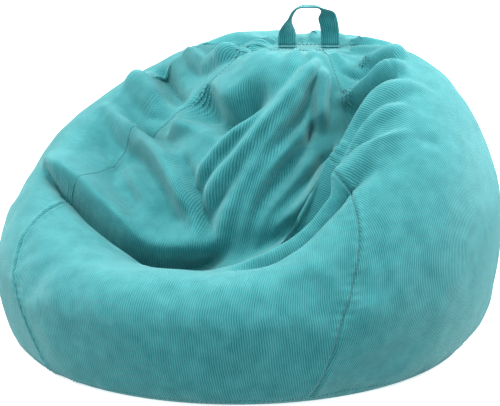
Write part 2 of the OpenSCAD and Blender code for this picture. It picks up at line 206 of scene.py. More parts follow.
def outside(s, az):
    """The bulging outside, from the base's edge (0) up to the rim (1)."""
    share, side = back_share(az), np.sin(np.radians(az))
    belly = mix(BELLY_FRONT, BELLY_BACK, share) + BELLY_SHIFT * side
    tuck = mix(TUCK_FRONT, TUCK_BACK, share)
    angle = mix(-np.arcsin(belly / tuck), math.pi / 2, s)
    z = belly + np.where(angle > 0, rim_height(az) - belly, tuck) * np.sin(angle)
    plain = mix(crown_radius(az), belly_radius(az), np.cos(angle))
    arc = ZIP_ARC_OFFSET + np.sqrt(np.maximum(0, ZIP_ARC_RADIUS ** 2 - (z - ZIP_ARC_HEIGHT) ** 2))
    r = mix(plain, arc, zip_share(az, z))
    return np.concatenate([r[..., None] * heading(az), z[..., None]], -1)


def inside(u, az):
    """The seat and the backrest, from the rim (0) to the edge of the cap (1)."""
    rim, cap = crown_radius(az)[..., None] * heading(az), CAP_CENTRE + CAP_RADIUS * heading(az)
    plan = mix(rim, cap, u[..., None])
    rise = smooth(u / FLAT_START) ** 2
    hollow = SEAT_DIP * np.exp(-(((plan - DIP_CENTRE) / DIP_SPREAD) ** 2).sum(-1))
    z = mix(rim_height(az), CAP_HEIGHT, rise) - hollow * smooth(3 * u) * (1 - rise)
    return np.concatenate([plan, z[..., None]], -1)


def seam_azimuths(stage):
    """Azimuths of the seams at a stage from the base (0) over the rim (1) to the cap (2)."""
    left = FIRST_SEAM + np.interp(stage, SWING_STAGES, LEFT_SWING)
    right = FIRST_SEAM + 90 + np.interp(stage, SWING_STAGES, RIGHT_SWING)
    return left, right, FIRST_SEAM + 180, ZIP_SEAM, left + 360


def row_azimuths(stage):
    """Columns all the way round, closer together beside the seams."""
    t = np.arange(GORE_COLUMNS) / GORE_COLUMNS
    t = t - EDGE_CROWDING * np.sin(2 * math.pi * t) / (2 * math.pi)
    seams = seam_azimuths(stage)
    return np.concatenate([mix(seams[gore], seams[gore + 1], t) for gore in range(4)])


def bag_grid():
    """Rows of points from the base's edge, over the rim, to the cap's edge."""
    low = np.linspace(0, 1, OUTSIDE_ROWS + 1)
    high = np.linspace(0, 1, INSIDE_ROWS + 1)[1:]
    rows = [outside(np.full(COLUMNS, s), row_azimuths(s)) for s in low]
    rows += [inside(np.full(COLUMNS, u), row_azimuths(1 + u)) for u in high]
    return np.array(rows)


def grid_normals(p):
    """The way out of the bag at each point of a grid."""
    across = np.roll(p, -1, 1) - np.roll(p, 1, 1)
    n = np.cross(across, np.gradient(p, axis=0))
    return n / np.maximum(np.linalg.norm(n, axis=-1, keepdims=True), 1e-12)


def lengths(p, axis):
    """Distance from the first row or column, along the surface."""
    steps = np.linalg.norm(np.diff(p, axis=axis), axis=-1)
    pad = [(0, 0), (0, 0)]
    pad[axis] = (1, 0)
    return np.pad(np.cumsum(steps, axis), pad)


def gore_columns(gore):
    """A gore's columns, from its left seam to its right one."""
    return [(gore * GORE_COLUMNS + j) % COLUMNS for j in range(GORE_COLUMNS + 1)]


# ---------------------------------------------------------------- folds

def curve_through(points, step=0.006):
    """Points every few millimetres on a smooth curve through the given ones."""
    p = np.array(points, float)
    p = np.vstack([2 * p[0] - p[1], p, 2 * p[-1] - p[-2]])
    out = []
    for i in range(1, len(p) - 2):
        count = max(2, int(np.linalg.norm(p[i + 1] - p[i]) / step))
        a, b, c, d = p[i - 1:i + 3]
        for t in np.arange(count) / count:
            out.append(0.5 * (2 * b + (c - a) * t + (2 * a - 5 * b + 4 * c - d) * t ** 2
                              + (3 * b - a - 3 * c + d) * t ** 3))
    out.append(p[-2])
    return np.array(out)


def eased(line):
    """A line with each of its points moved to the average of those near it."""
    kernel = np.ones(2 * CURVE_EASE + 1) / (2 * CURVE_EASE + 1)
    padded = np.pad(line, ((CURVE_EASE, CURVE_EASE), (0, 0)), mode="edge")
    return np.stack([np.convolve(padded[:, axis], kernel, "valid") for axis in range(3)], 1)


def units(vectors):
    """The same vectors, each of length one."""
    return vectors / np.maximum(np.linalg.norm(vectors, axis=1, keepdims=True), 1e-9)


class Sculpt:
    """Adds folds to the bag's smooth surface, along its normals and across them."""

    def __init__(self, grid):
        self.shape = grid.shape
        self.p = grid.reshape(-1, 3)
        self.n = grid_normals(relax(grid, 12)).reshape(-1, 3)
        self.tubes = np.zeros(len(self.p))
        self.lift = np.zeros(len(self.p))
        self.slide = np.zeros_like(self.p)
        top = np.flatnonzero(self.n[:, 2] > 0.02)
        self.tree = KDTree(len(top))
        for i in top:
            self.tree.insert((self.p[i, 0], self.p[i, 1], 0), i)
        self.tree.balance()

    def near(self, points, reach):
        """The curve laid on the surface from above, and the vertices close to it:
        their signed distance from it, its left-hand side, and how far along they are."""
        plan = curve_through(np.array(points) / 100)
        index = [self.tree.find((x, y, 0))[1] for x, y in plan]
        line, normal = eased(self.p[index]), self.n[index]
        side = units(np.cross(normal, units(np.gradient(line, axis=0))))
        low, high = line.min(0) - reach, line.max(0) + reach
        found = np.flatnonzero(((self.p > low) & (self.p < high)).all(1))
        gap = np.linalg.norm(self.p[found, None] - line[None], axis=2)
        at = gap.argmin(1)
        gap = gap[np.arange(len(found)), at]
        keep = (gap < reach) & ((self.n[found] * normal[at]).sum(1) > -0.2)
        found, at, gap = found[keep], at[keep], gap[keep]
        signed = gap * np.where(((self.p[found] - line[at]) * side[at]).sum(1) >= 0, 1, -1)
        run = np.pad(np.cumsum(np.linalg.norm(np.diff(line, axis=0), axis=1)), (1, 0))
        return found, signed, side[at], run[at] / run[-1]

    def fade(self, t, ends):
        """How a fold dies away over these shares of its length, at its two ends."""
        return smooth(t / ends[0]) * smooth((1 - t) / ends[1])

    def roll(self, points, height, left, right, ends=FOLD_ENDS):
        """A tube of cloth along the curve, with its widths on either side. It tapers
        to its ends, and where two tubes meet there is a sharp valley."""
        found, d, _, t = self.near(points, max(left, right))
        fade = self.fade(t, ends)
        x = np.clip(np.abs(d) / (np.where(d > 0, left, right) * mix(TUBE_TAPER, 1, fade)), 0, 1)
        form = FOLD_SCALE * (1 - x ** 2.2) ** 0.9 * fade
        self.tubes[found] = np.maximum(self.tubes[found], height * form)

    def crease(self, points, depth, left, right, ends=FOLD_ENDS):
        """A narrow line where the cloth is drawn in, with round cloth on both sides."""
        found, d, _, t = self.near(points, max(left, right))
        x = np.clip(np.sqrt(d * d + 1e-6) / np.where(d > 0, left, right), 0, 1)
        form = FOLD_SCALE * (0.6 * (1 - x) ** 5 + 0.4 * (1 - x) ** 2) * self.fade(t, ends)
        self.lift[found] -= depth * form

    def hollow(self, points, depth, reach, ends=FOLD_ENDS):
        """A wide soft dip along the curve."""
        found, d, _, t = self.near(points, reach)
        self.lift[found] -= FOLD_SCALE * depth * (1 - smooth(np.abs(d) / reach)) * self.fade(t, ends)

    def pleat(self, points, depth, roll, reach, back, lean, ends=FOLD_ENDS):
        """A crease with a roll of cloth that hangs over it from the left side."""
        found, d, side, t = self.near(points, max(reach, back))
        fade = self.fade(t, ends)
        steep = np.clip(1 - d / (STEEP_SIDE * reach), 0, 1) ** 1.5
        gentle = np.clip(1 + d / back, 0, 1) ** 2.2
        groove = np.where(d > 0, steep, gentle)
        swell = np.where(d > 0, np.sin(math.pi * np.clip(d / reach, 0, 1) ** 0.6) ** 1.2, 0)
        self.lift[found] += (roll * swell - depth * groove) * fade
        self.slide[found] -= (lean * swell * fade)[:, None] * side

    def result(self, keep_out):
        """The sculpted surface, with no folds where keep_out is 1."""
        moved = self.n * (self.tubes + self.lift)[:, None] + self.slide
        return self.p.reshape(self.shape) + relax(moved.reshape(self.shape), 2) * (1 - keep_out)[..., None]


# Each fold is a few places and its sizes. Places are centimetres in plan, laid on
# the bag from above; sizes are metres, and left is the left of the way they run.
ROLLS = [
    # the backrest, from the cap down to the seat
    ([(6, -5.5), (0, -7.2), (-4, -7.8), (-8, -8.4), (-12, -9)],
     dict(height=0.026, left=0.018, right=0.018, ends=(0.2, 0.3))),
    ([(14.5, 1), (9, -5), (5, -7.2), (1, -9), (-4, -10.4), (-8, -12), (-9, -14)],
     dict(height=0.032, left=0.020, right=0.022, ends=(0.15, 0.25))),
    ([(12, -3), (7, -7.5), (3, -10.4), (-1, -12.4), (-4, -15), (-6, -18)],
     dict(height=0.028, left=0.020, right=0.024, ends=(0.15, 0.25))),
    ([(13, -6), (9, -9), (5, -11), (1, -13), (-1, -16), (-2, -19)],
     dict(height=0.024, left=0.020, right=0.020, ends=(0.2, 0.25))),
    ([(14, -9), (9, -12), (5, -13.8), (2, -16), (1, -19)],
     dict(height=0.018, left=0.018, right=0.020, ends=(0.2, 0.25))),
    # the cap's collapsed edge beside the pocket
    ([(15, 0), (13, -4), (13.5, -9)], dict(height=0.026, left=0.020, right=0.016, ends=(0.3, 0.2))),
    # the right arm
    ([(20, -10), (14, -13), (7.5, -15), (1, -17)], dict(height=0.026, left=0.022, right=0.024)),
    ([(24, -12), (15, -16), (8, -18.5), (0, -19.5), (-6, -19)],
     dict(height=0.036, left=0.030, right=0.034, ends=(0.3, 0.35))),
    ([(16, -14), (21, -13), (27, -11), (35, -10)],
     dict(height=0.024, left=0.026, right=0.030, ends=(0.2, 0.5))),
    ([(15, -19), (20, -17), (26, -16), (33, -15.5)],
     dict(height=0.018, left=0.020, right=0.022, ends=(0.2, 0.6))),
    ([(14, -25), (19, -22.5), (25, -21.5), (34, -21)],
     dict(height=0.020, left=0.016, right=0.026, ends=(0.2, 0.6))),
    # the right gore
    ([(14, -5), (18, -5), (23, -4.5), (31, -4)], dict(height=0.020, left=0.022, right=0.026)),
    ([(19, 2), (24, 1), (31, 3)], dict(height=0.014, left=0.024, right=0.020)),
    # the left of the seat
    ([(-31, 15), (-25, 10), (-20, 5), (-16, 0), (-13, -5), (-10, -10), (-7, -15)],
     dict(height=0.032, left=0.018, right=0.034, ends=(0.3, 0.2))),
    ([(-25, 3), (-20, -4), (-15, -11)], dict(height=0.012, left=0.024, right=0.034)),
    # the upper left
    ([(-17, 4), (-12, 2), (-8, -2), (-5, -7)], dict(height=0.018, left=0.014, right=0.030)),
    ([(-25, 22), (-20, 16), (-16, 11), (-12, 6)],
     dict(height=0.022, left=0.022, right=0.040, ends=(0.3, 0.5))),
    ([(-14, 25), (-9, 18), (-4, 11), (0, 5)], dict(height=0.024, left=0.016, right=0.026)),
]
CREASES = [
    # beside the long rolls of the backrest
    ([(12.5, -5), (8, -8.4), (4, -10.4), (1, -11.6)], dict(depth=0.020, left=0.018, right=0.018)),
    ([(8, -5), (2, -7.6), (-4, -8.8), (-9, -9.4)], dict(depth=0.014, left=0.016, right=0.016)),
    # the pocket and the cuts beside it
    ([(12.2, -6.5), (11.6, -8.5), (10.6, -10)],
     dict(depth=0.045, left=0.020, right=0.024, ends=(0.4, 0.4))),
    ([(11, -10.6), (14, -11), (17, -10.5)], dict(depth=0.030, left=0.018, right=0.024)),
    ([(17, -11), (20, -9.5), (24, -7.5), (31, -6.5)],
     dict(depth=0.022, left=0.030, right=0.030, ends=(0.3, 0.35))),
    ([(16, 0), (20, -1.5), (25, -1.2), (31, 0)], dict(depth=0.016, left=0.022, right=0.024)),
    # between the rolls of the right arm, and down its shoulder
    ([(21, -13), (13, -15.3), (6, -17), (0, -18)], dict(depth=0.026, left=0.018, right=0.018)),
    ([(20, -24), (26, -22), (35, -21)], dict(depth=0.014, left=0.030, right=0.018)),
    ([(18, -14), (25, -15), (34, -17)], dict(depth=0.008, left=0.020, right=0.020)),
    # the swag of the upper left, and the left of the seat
    ([(-8, 0), (-6.5, -3.5), (-3.5, -5.8), (1, -6.6), (5, -5)], dict(depth=0.034, left=0.046, right=0.016)),
    ([(-21, 25), (-17, 19), (-14, 14), (-11, 9)],
     dict(depth=0.026, left=0.036, right=0.024, ends=(0.3, 0.5))),
    ([(-14, -2), (-11.5, -6), (-8.5, -11), (-6, -15.5)],
     dict(depth=0.034, left=0.032, right=0.020, ends=(0.2, 0.2))),
    ([(-27, 12), (-21, 8), (-16, 2), (-12, -4)], dict(depth=0.016, left=0.034, right=0.020)),
    ([(-33, 10), (-26, 3), (-21, -6), (-16, -11)], dict(depth=0.014, left=0.034, right=0.044)),
    ([(-8, 22), (-3, 14), (2, 7)], dict(depth=0.014, left=0.022, right=0.018)),
]
HOLLOWS = [
    # the swag under the cap, and the fold that leads into it
    ([(-11, 9), (-8.5, 0), (-5, -4), (0, -5), (6, -3)], dict(depth=0.045, reach=0.050, ends=(0.25, 0.3))),
    ([(-20, 24), (-15, 14), (-11, 7)], dict(depth=0.016, reach=0.034)),
    # behind the right arm, and beside the cap
    ([(15, -10.5), (20, -8), (27, -6)], dict(depth=0.020, reach=0.034)),
    # the lowest part of the seat
    ([(-24, -10), (-14, -15), (-2, -17)], dict(depth=0.016, reach=0.045)),
]
PLEATS = [
    # the left roll and the swag's edge over the seat
    ([(-42, 7), (-37, -1), (-31, -6), (-25, -10.5), (-18, -14), (-10, -15.5), (-1, -17)],
     dict(depth=0.055, roll=0.030, reach=0.070, back=0.060, lean=0.020, ends=(0.22, 0.2))),
    # the right arm's lowest roll over the lip of the seat
    ([(-6, -34), (4, -32), (12, -28.5), (18, -26), (25, -25)],
     dict(depth=0.022, roll=0.014, reach=0.050, back=0.040, lean=0.008)),
]


def relax(p, times, share=0.5):
    """Evens out the grid of points a little, leaving its first and last rows."""
    for _ in range(times):
        average = (np.roll(p, 1, 1) + np.roll(p, -1, 1)) / 4
        average[1:-1] += (p[:-2] + p[2:]) / 4
        average[0], average[-1] = p[0], p[-1]
        p = mix(p, average, share)
    return p


def lumps(p, size, amount, seed):
    """Slow unevenness, as loose beads push the cloth out here and there."""
    place = p.reshape(-1, 3) / size + seed
    return amount * np.array([noise.noise(Vector(q)) for q in place]).reshape(p.shape[:2])


def seam_relief(p):
    """Lift of each vertex near its closest seam: a groove, its two raised edges
    and the small gathers that run across it."""
    lift = np.zeros(p.shape[:2])
    along = lengths(p, 0)
    for gore in range(4):
        columns = gore_columns(gore)
        across = lengths(p[:, columns], 1)
        gap = np.minimum(across, across[:, -1:] - across)[:, :-1]
        run = along[:, columns[:-1]]
        wander = 1.3 * np.sin(run / 0.031 + gore) + 0.8 * np.sin(run / 0.013 + 2 * gore)
        gather = np.sin(2 * math.pi * run / GATHER_PITCH + wander) * np.exp(-gap / GATHER_REACH)
        line = np.exp(-(gap / GROOVE_WIDTH) ** 2)
        edges = EDGE_RISE * np.exp(-((gap - EDGE_OFFSET) / EDGE_WIDTH) ** 2)
        lift[:, columns[:-1]] = -GROOVE_DEPTH * line + edges + GATHER_HEIGHT * gather * (1 - line)
    off = np.linalg.norm(p[..., :2] - CAP_CENTRE, axis=-1)
    in_seat = smooth((np.arange(GORE_ROWS) - OUTSIDE_ROWS) / 12)[:, None]
    return lift * mix(0.25, 1, smooth((off - 0.08) / 0.12)) * mix(1, 0.25, in_seat)


def cap_gathers(p):
    """The gores' fullness, taken up in folds that run out from the cap."""
    out = p[..., :2] - CAP_CENTRE
    far = np.linalg.norm(out / CAP_PLAIN, axis=-1)
    turn = np.arctan2(out[..., 0], -out[..., 1])
    fold = np.sin(CAP_BROAD_FOLDS * turn + 1.3 * np.sin(3 * turn)) + 0.5 * np.sin(CAP_FINE_FOLDS * turn + 2)
    high = smooth((p[..., 2] - 0.40) / 0.06)
    return CAP_FOLD_HEIGHT * fold * smooth((far - 0.95) / 0.7) * smooth((3.6 - far) / 2.2) * high


def kept_plain(p):
    """1 where the zip or the sewn cap needs the smooth surface, fading to 0."""
    azimuth = np.degrees(np.arctan2(p[..., 0], -p[..., 1])) % 360
    beside = np.abs(azimuth - ZIP_SEAM)
    by_zip = smooth((ZIP_PLAIN_ANGLE - beside) / 10) * smooth((ZIP_PLAIN_TOP - p[..., 2]) / 0.03)
    by_cap = smooth((1.35 - np.linalg.norm((p[..., :2] - CAP_CENTRE) / CAP_PLAIN, axis=-1)) / 0.35)
    return np.maximum(by_zip * (np.arange(len(p)) < OUTSIDE_ROWS)[:, None], by_cap)


def settled(bag):
    """A short cloth simulation of the cover, swollen by the beads behind it. How far
    a point may move is capped, and the zip and the cap are held."""
    rows = np.append(np.arange(0, GORE_ROWS - 1, SIM_STEP), GORE_ROWS - 1)
    columns = np.arange(0, COLUMNS, SIM_STEP)
    coarse = bag[np.ix_(rows, columns)]
    n, m = coarse.shape[:2]
    index = np.arange(n * m).reshape(n, m)
    after = np.roll(index, -1, 1)
    faces = np.stack([index[:-1], after[:-1], after[1:], index[1:]], -1).reshape(-1, 4)
    cover = mesh_object("cloth_run", coarse.reshape(-1, 3), faces.tolist())
    held = cover.vertex_groups.new(name="held")
    plain = kept_plain(coarse)
    plain[0] = plain[-1] = 1
    for i, share in enumerate(plain.ravel()):
        held.add([i], float(mix(SIM_HOLD, 1, share)), "REPLACE")
    cloth = cover.modifiers.new("cloth", "CLOTH")
    for name, value in SIM_CLOTH.items():
        setattr(cloth.settings, name, value)
    cloth.settings.vertex_group_mass = "held"
    cloth.settings.effector_weights.gravity = 0
    for number in range(1, SIM_FRAMES + 1):
        bpy.context.scene.frame_set(number)
    moved = cover.evaluated_get(bpy.context.evaluated_depsgraph_get()).data
    flat = np.empty(n * m * 3)
    moved.vertices.foreach_get("co", flat)
    shift = flat.reshape(n, m, 3) - coarse
    far = np.linalg.norm(shift, axis=-1, keepdims=True)
    shift *= SIM_LIMIT * np.tanh(far / SIM_LIMIT) / np.maximum(far, 1e-9)
    shift = relax(shift, 1) * (1 - plain)[..., None]
    bpy.data.objects.remove(cover)
    bpy.context.scene.frame_set(1)
    return bag + spread(shift, rows, columns)


def spread(shift, rows, columns):
    """The moves of the simulated points, carried over to all the points."""
    full = np.stack([np.interp(np.arange(GORE_ROWS), rows, shift[:, j, k])
                     for k in range(3) for j in range(len(columns))], 1).reshape(GORE_ROWS, 3, -1)
    around = np.append(columns, COLUMNS)
    dense = np.empty((GORE_ROWS, COLUMNS, 3))
    for k in range(3):
        wrapped = np.concatenate([full[:, k], full[:, k, :1]], 1)
        for i in range(GORE_ROWS):
            dense[i, :, k] = np.interp(np.arange(COLUMNS), around, wrapped[i])
    return dense


def under_folded_handle(p):
    """1 where the loop comes down when it folds forwards, fading to 0."""
    aside = np.abs(p[..., 0] - CAP_CENTRE[0])
    ahead = CAP_CENTRE[1] - p[..., 1]
    return (smooth((FOLDED_HALF_WIDTH - aside) / 0.012)
            * smooth((FOLDED_LENGTH - ahead) / 0.015) * smooth((ahead + 0.03) / 0.02))


def sculpted_bag(plain):
    """The bag with its folds, its settling, its lumps and its seams."""
    sculpt = Sculpt(plain)
    for add, folds in ((sculpt.roll, ROLLS), (sculpt.crease, CREASES),
                       (sculpt.hollow, HOLLOWS), (sculpt.pleat, PLEATS)):
        for points, settings in folds:
            add(points, **settings)
    keep_out = kept_plain(plain)
    bag = relax(sculpt.result(keep_out), 2)
    bag = settled(bag)
    lift = sum(lumps(plain, *settings) for settings in LUMPS) + seam_relief(plain) + cap_gathers(plain)
    row = np.arange(GORE_ROWS)[:, None]
    fade = smooth(row / 6) * smooth((GORE_ROWS - 1 - row) / 4)
    bag = bag + grid_normals(bag) * (lift * fade * (1 - keep_out))[..., None]
    way = grid_normals(plain)
    proud = np.maximum(((bag - plain) * way).sum(-1), 0) * smooth((plain[..., 2] - 0.40) / 0.04)
    bag = bag - way * (proud * under_folded_handle(plain))[..., None]
    bag[..., 2] = np.maximum(bag[..., 2], 0)
    return bag


# ---------------------------------------------------------------- meshes

def mesh_object(name, points, faces):
    """A smooth-shaded mesh, in the scene."""
    mesh = bpy.data.meshes.new(name)
    mesh.from_pydata([tuple(q) for q in points], [], faces)
    mesh.update()
    obj = bpy.data.objects.new(name, mesh)
    bpy.context.scene.collection.objects.link(obj)
    for polygon in mesh.polygons:
        polygon.use_smooth = True
    return obj


def shell(name, outer, inner):
    """A closed sheet between two grids of points of the same size."""
    n, m = outer.shape[:2]
    grid = n * m
    index = np.arange(grid).reshape(n, m)
    front = np.stack([index[:-1, :-1], index[:-1, 1:], index[1:, 1:], index[1:, :-1]], -1)
    front = front.reshape(-1, 4)
    behind = front[:, ::-1] + grid
    rims = []
    for line, flip in ((index[0], False), (index[-1], True), (index[:, 0], True), (index[:, -1], False)):
        strip = np.stack([line[:-1], line[:-1] + grid, line[1:] + grid, line[1:]], -1)
        rims.append(strip[:, ::-1] if flip else strip)
    faces = np.concatenate([front, behind] + rims)
    return mesh_object(name, np.concatenate([outer.reshape(-1, 3), inner.reshape(-1, 3)]), faces.tolist())


def lofted(name, loops):
    """A closed body through closed loops of points, with a flat end at each end."""
    loops = np.asarray(loops)
    n, m = loops.shape[:2]
    index = np.arange(n * m).reshape(n, m)
    after = np.roll(index, -1, 1)
    walls = np.stack([index[:-1], after[:-1], after[1:], index[1:]], -1).reshape(-1, 4)
    faces = walls.tolist() + [index[0][::-1].tolist(), index[-1].tolist()]
    return mesh_object(name, loops.reshape(-1, 3), faces)


def stitches(name, path, normals, length=0.0050, gap=0.0030, radius=0.0007, lift=0.0004):
    """Short thick threads along a path, each tucked into the cloth at both ends."""
    run = np.pad(np.cumsum(np.linalg.norm(np.diff(path, axis=0), axis=1)), (1, 0))
    starts = np.arange(gap, run[-1] - length, length + gap)
    shares, girths = np.array([0, 0.15, 0.5, 0.85, 1]), np.array([0.35, 0.9, 1.0, 0.9, 0.35])
    rises = np.array([-0.8, 0.3, 0.8, 0.3, -0.8]) * radius + lift
    at = (starts[:, None] + length * shares).ravel()
    centre = np.stack([np.interp(at, run, path[:, k]) for k in range(3)], 1)
    up = np.stack([np.interp(at, run, normals[:, k]) for k in range(3)], 1)
    way = np.stack([np.interp(at, run, np.gradient(path[:, k], run)) for k in range(3)], 1)
    side = np.cross(up, way)
    side /= np.maximum(np.linalg.norm(side, axis=1, keepdims=True), 1e-9)
    centre += up * np.tile(rises, len(starts))[:, None]
    sides = 6
    turn = 2 * math.pi * np.arange(sides) / sides
    girth = radius * np.tile(girths, len(starts))
    ring = (np.cos(turn)[None, :, None] * up[:, None] + np.sin(turn)[None, :, None] * side[:, None])
    points = centre[:, None] + ring * girth[:, None, None]
    index = np.arange(points.shape[0] * sides).reshape(len(starts), len(shares), sides)
    after = np.roll(index, -1, 2)
    walls = np.stack([index[:, :-1], after[:, :-1], after[:, 1:], index[:, 1:]], -1).reshape(-1, 4)
    ends = np.concatenate([index[:, 0, ::-1], index[:, -1]])
    return mesh_object(name, points.reshape(-1, 3), walls[:, ::-1].tolist() + ends[:, ::-1].tolist())


def set_wales(obj, across):
    """Keeps each point's distance across the cloth, which the wales follow."""
    layer = obj.data.attributes.new("wale", "FLOAT", "POINT")
    layer.data.foreach_set("value", np.asarray(across, "f").ravel())


def finished(obj, body, slot, material, *nodes):
    """Gives a piece its material and its body, and hides the nodes it stands for. The slot is not used."""
    obj.data.materials.clear()
    obj.data.materials.append(material)
    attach(obj, body)
    if nodes:
        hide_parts(*nodes)


# ---------------------------------------------------------------- materials

class Nodes:
    """A material under construction: short calls that add and join its nodes."""

    def __init__(self, name, roughness, **settings):
        self.material = bpy.data.materials.new(name)
        self.material.use_nodes = True
        self.tree = self.material.node_tree
        self.tree.nodes.clear()
        self.shader = self.tree.nodes.new("ShaderNodeBsdfPrincipled")
        out = self.tree.nodes.new("ShaderNodeOutputMaterial")
        self.join(self.shader.outputs[0], out.inputs[0])
        self.shader.inputs["Roughness"].default_value = roughness
        for socket, value in settings.items():
            self.shader.inputs[socket.replace("_", " ")].default_value = value

    def join(self, source, target):
        self.tree.links.new(source, target)

    def feed(self, target, value):
        """Sets a socket, or joins another node's output to it."""
        if isinstance(value, (int, float)):
            target.default_value = value
        else:
            self.join(value, target)

    def place(self):
        return self.tree.nodes.new("ShaderNodeTexCoord").outputs["Object"]

    def attribute(self, name):
        node = self.tree.nodes.new("ShaderNodeAttribute")
        node.attribute_name = name
        return node.outputs["Fac"]

    def math(self, operation, a, b=0.0):
        node = self.tree.nodes.new("ShaderNodeMath")
        node.operation = operation
        self.feed(node.inputs[0], a)
        self.feed(node.inputs[1], b)
        return node.outputs[0]

    def noise(self, scale, detail=2.0):
        node = self.tree.nodes.new("ShaderNodeTexNoise")
        self.join(self.place(), node.inputs["Vector"])
        node.inputs["Scale"].default_value = scale
        node.inputs["Detail"].default_value = detail
        return node.outputs["Fac"]

    def cells(self, scale):
        node = self.tree.nodes.new("ShaderNodeTexVoronoi")
        self.join(self.place(), node.inputs["Vector"])
        node.inputs["Scale"].default_value = scale
        return node.outputs["Distance"]

    def painted_top_light(self):
        """From -1 where the surface faces down to 1 where it faces up, for painted light on the tops and
        painted shade underneath.
        """
        split = self.tree.nodes.new("ShaderNodeSeparateXYZ")
        surface = self.tree.nodes.new("ShaderNodeNewGeometry")
        self.join(surface.outputs["True Normal"], split.inputs[0])
        return split.outputs["Z"]

    def waves(self, scale, direction, distortion=0.0):
        node = self.tree.nodes.new("ShaderNodeTexWave")
        node.bands_direction = direction
        self.join(self.place(), node.inputs["Vector"])
        node.inputs["Scale"].default_value = scale
        node.inputs["Distortion"].default_value = distortion
        return node.outputs["Fac"]

    def colours(self, share, low, high):
        """A colour between two, by a share."""
        node = self.tree.nodes.new("ShaderNodeMix")
        node.data_type = "RGBA"
        self.join(share, node.inputs["Factor"])
        node.inputs["A"].default_value = (*low, 1)
        node.inputs["B"].default_value = (*high, 1)
        return node.outputs["Result"]

    def coat(self, colour, height, distance, strength=0.6):
        """Gives the shader its colour and its bump."""
        self.join(colour, self.shader.inputs["Base Color"])
        bump = self.tree.nodes.new("ShaderNodeBump")
        bump.inputs["Strength"].default_value = strength
        bump.inputs["Distance"].default_value = distance
        self.join(height, bump.inputs["Height"])
        self.join(bump.outputs[0], self.shader.inputs["Normal"])

    def rough(self, share, low, high):
        spread = self.math("MULTIPLY", share, high - low)
        self.join(self.math("ADD", spread, low), self.shader.inputs["Roughness"])


def corduroy():
    """Fine wales with painted shade in the grooves between them, a pile that is uneven
    from place to place, painted light that is paler where it faces up and painted shade where it faces
    down, and the sheen of brushed cotton."""
    m = Nodes("corduroy", 0.85, Specular_IOR_Level=0.08, Sheen_Weight=0.45, Sheen_Roughness=0.45,
              Sheen_Tint=(0.62, 1.0, 1.0, 1))
    wander = m.math("MULTIPLY", m.noise(45, 4), 0.0040)
    across = m.math("ADD", m.attribute("wale"), wander)
    rib = m.math("ABSOLUTE", m.math("SINE", m.math("MULTIPLY", across, math.pi / WALE_PITCH)))
    pile = m.math("MULTIPLY", m.noise(900, 2), 0.5)
    patch = m.math("MULTIPLY", m.noise(38, 5), 0.65)
    uneven = m.math("ADD", pile, m.math("SUBTRACT", patch, 0.47))
    # The colour is darker in the grooves between the wales: painted shade in the grooves, on top of the
    # bump.
    share = m.math("ADD", m.math("MULTIPLY", rib, 0.50), uneven)
    # Painted light and shade: paler where the surface faces up, darker where it faces down.
    share = m.math("ADD", share, m.math("MULTIPLY", m.painted_top_light(), 0.20))
    height = m.math("ADD", rib, pile)
    m.coat(m.colours(share, (0.0, 0.135, 0.153), (0.092, 0.410, 0.432)), height, 0.0010, 0.75)
    m.rough(patch, 0.75, 1.0)
    return m.material


def sewing_thread():
    """Twisted thread, a little darker than the cloth."""
    m = Nodes("thread", 0.6, Sheen_Weight=0.3)
    ply = m.noise(1500, 1)
    m.coat(m.colours(ply, (0.005, 0.115, 0.135), (0.030, 0.290, 0.320)), ply, 0.0003)
    return m.material


def woven(name, low, high, scale, roughness):
    """Plain weave for the zip's tape, the label and the patch under the cap."""
    m = Nodes(name, roughness, Sheen_Weight=0.2)
    weave = m.math("MULTIPLY", m.waves(scale, "X", 0.3), m.waves(scale, "Z", 0.3))
    share = m.math("ADD", m.math("MULTIPLY", weave, 0.6), m.math("MULTIPLY", m.noise(40, 3), 0.4))
    m.coat(m.colours(share, low, high), weave, 0.0003)
    return m.material


def moulded_teeth():
    """Slightly glossy plastic in the colour of the tape."""
    m = Nodes("zip_teeth", 0.45, Specular_IOR_Level=0.45)
    grain = m.noise(600, 2)
    m.coat(m.colours(grain, (0.008, 0.150, 0.170), (0.020, 0.230, 0.255)), grain, 0.0001)
    m.rough(grain, 0.35, 0.55)
    return m.material


def brushed_metal():
    """Nickel-plated metal with fine brush marks."""
    m = Nodes("zip_metal", 0.35, Metallic=1.0)
    brush = m.noise(700, 4)
    m.coat(m.colours(brush, (0.46, 0.46, 0.47), (0.66, 0.66, 0.67)), brush, 0.00005, 0.3)
    m.rough(brush, 0.25, 0.50)
    return m.material


def liner_cloth():
    """Spun cloth, dimpled all over by its bonding points."""
    m = Nodes("liner_cloth", 0.8, Sheen_Weight=0.2)
    dimple = m.math("MINIMUM", m.cells(400), 0.5)
    m.coat(m.colours(m.noise(60, 3), (0.74, 0.74, 0.72), (0.88, 0.88, 0.86)), dimple, 0.0004)
    return m.material


def loose_beads():
    """White foam beads, one cell each, with painted shade in the gaps between them."""
    m = Nodes("beads", 0.65, Subsurface_Weight=0.1)
    bead = m.math("SUBTRACT", 1.0, m.cells(260))
    # Greyer towards each cell's edge: painted shade between the beads.
    m.coat(m.colours(bead, (0.58, 0.58, 0.57), (0.93, 0.93, 0.92)), bead, 0.0020, 0.9)
    return m.material


CORDUROY = corduroy()
THREAD = sewing_thread()
TAPE = woven("zip_tape", (0.010, 0.170, 0.195), (0.045, 0.330, 0.360), 900, 0.75)
LABEL = woven("label_cloth", (0.62, 0.62, 0.60), (0.86, 0.86, 0.84), 700, 0.6)
PATCH = woven("patch_cloth", (0.55, 0.55, 0.53), (0.80, 0.80, 0.78), 500, 0.8)
TEETH = moulded_teeth()
METAL = brushed_metal()
LINER_CLOTH = liner_cloth()
BEADS = loose_beads()

# ---------------------------------------------------------------- the cover

PLAIN = bag_grid()
BAG = sculpted_bag(PLAIN)
NORMALS = grid_normals(BAG)
INNER = BAG - NORMALS * COVER
INNER[..., 2] = np.maximum(INNER[..., 2], COVER)


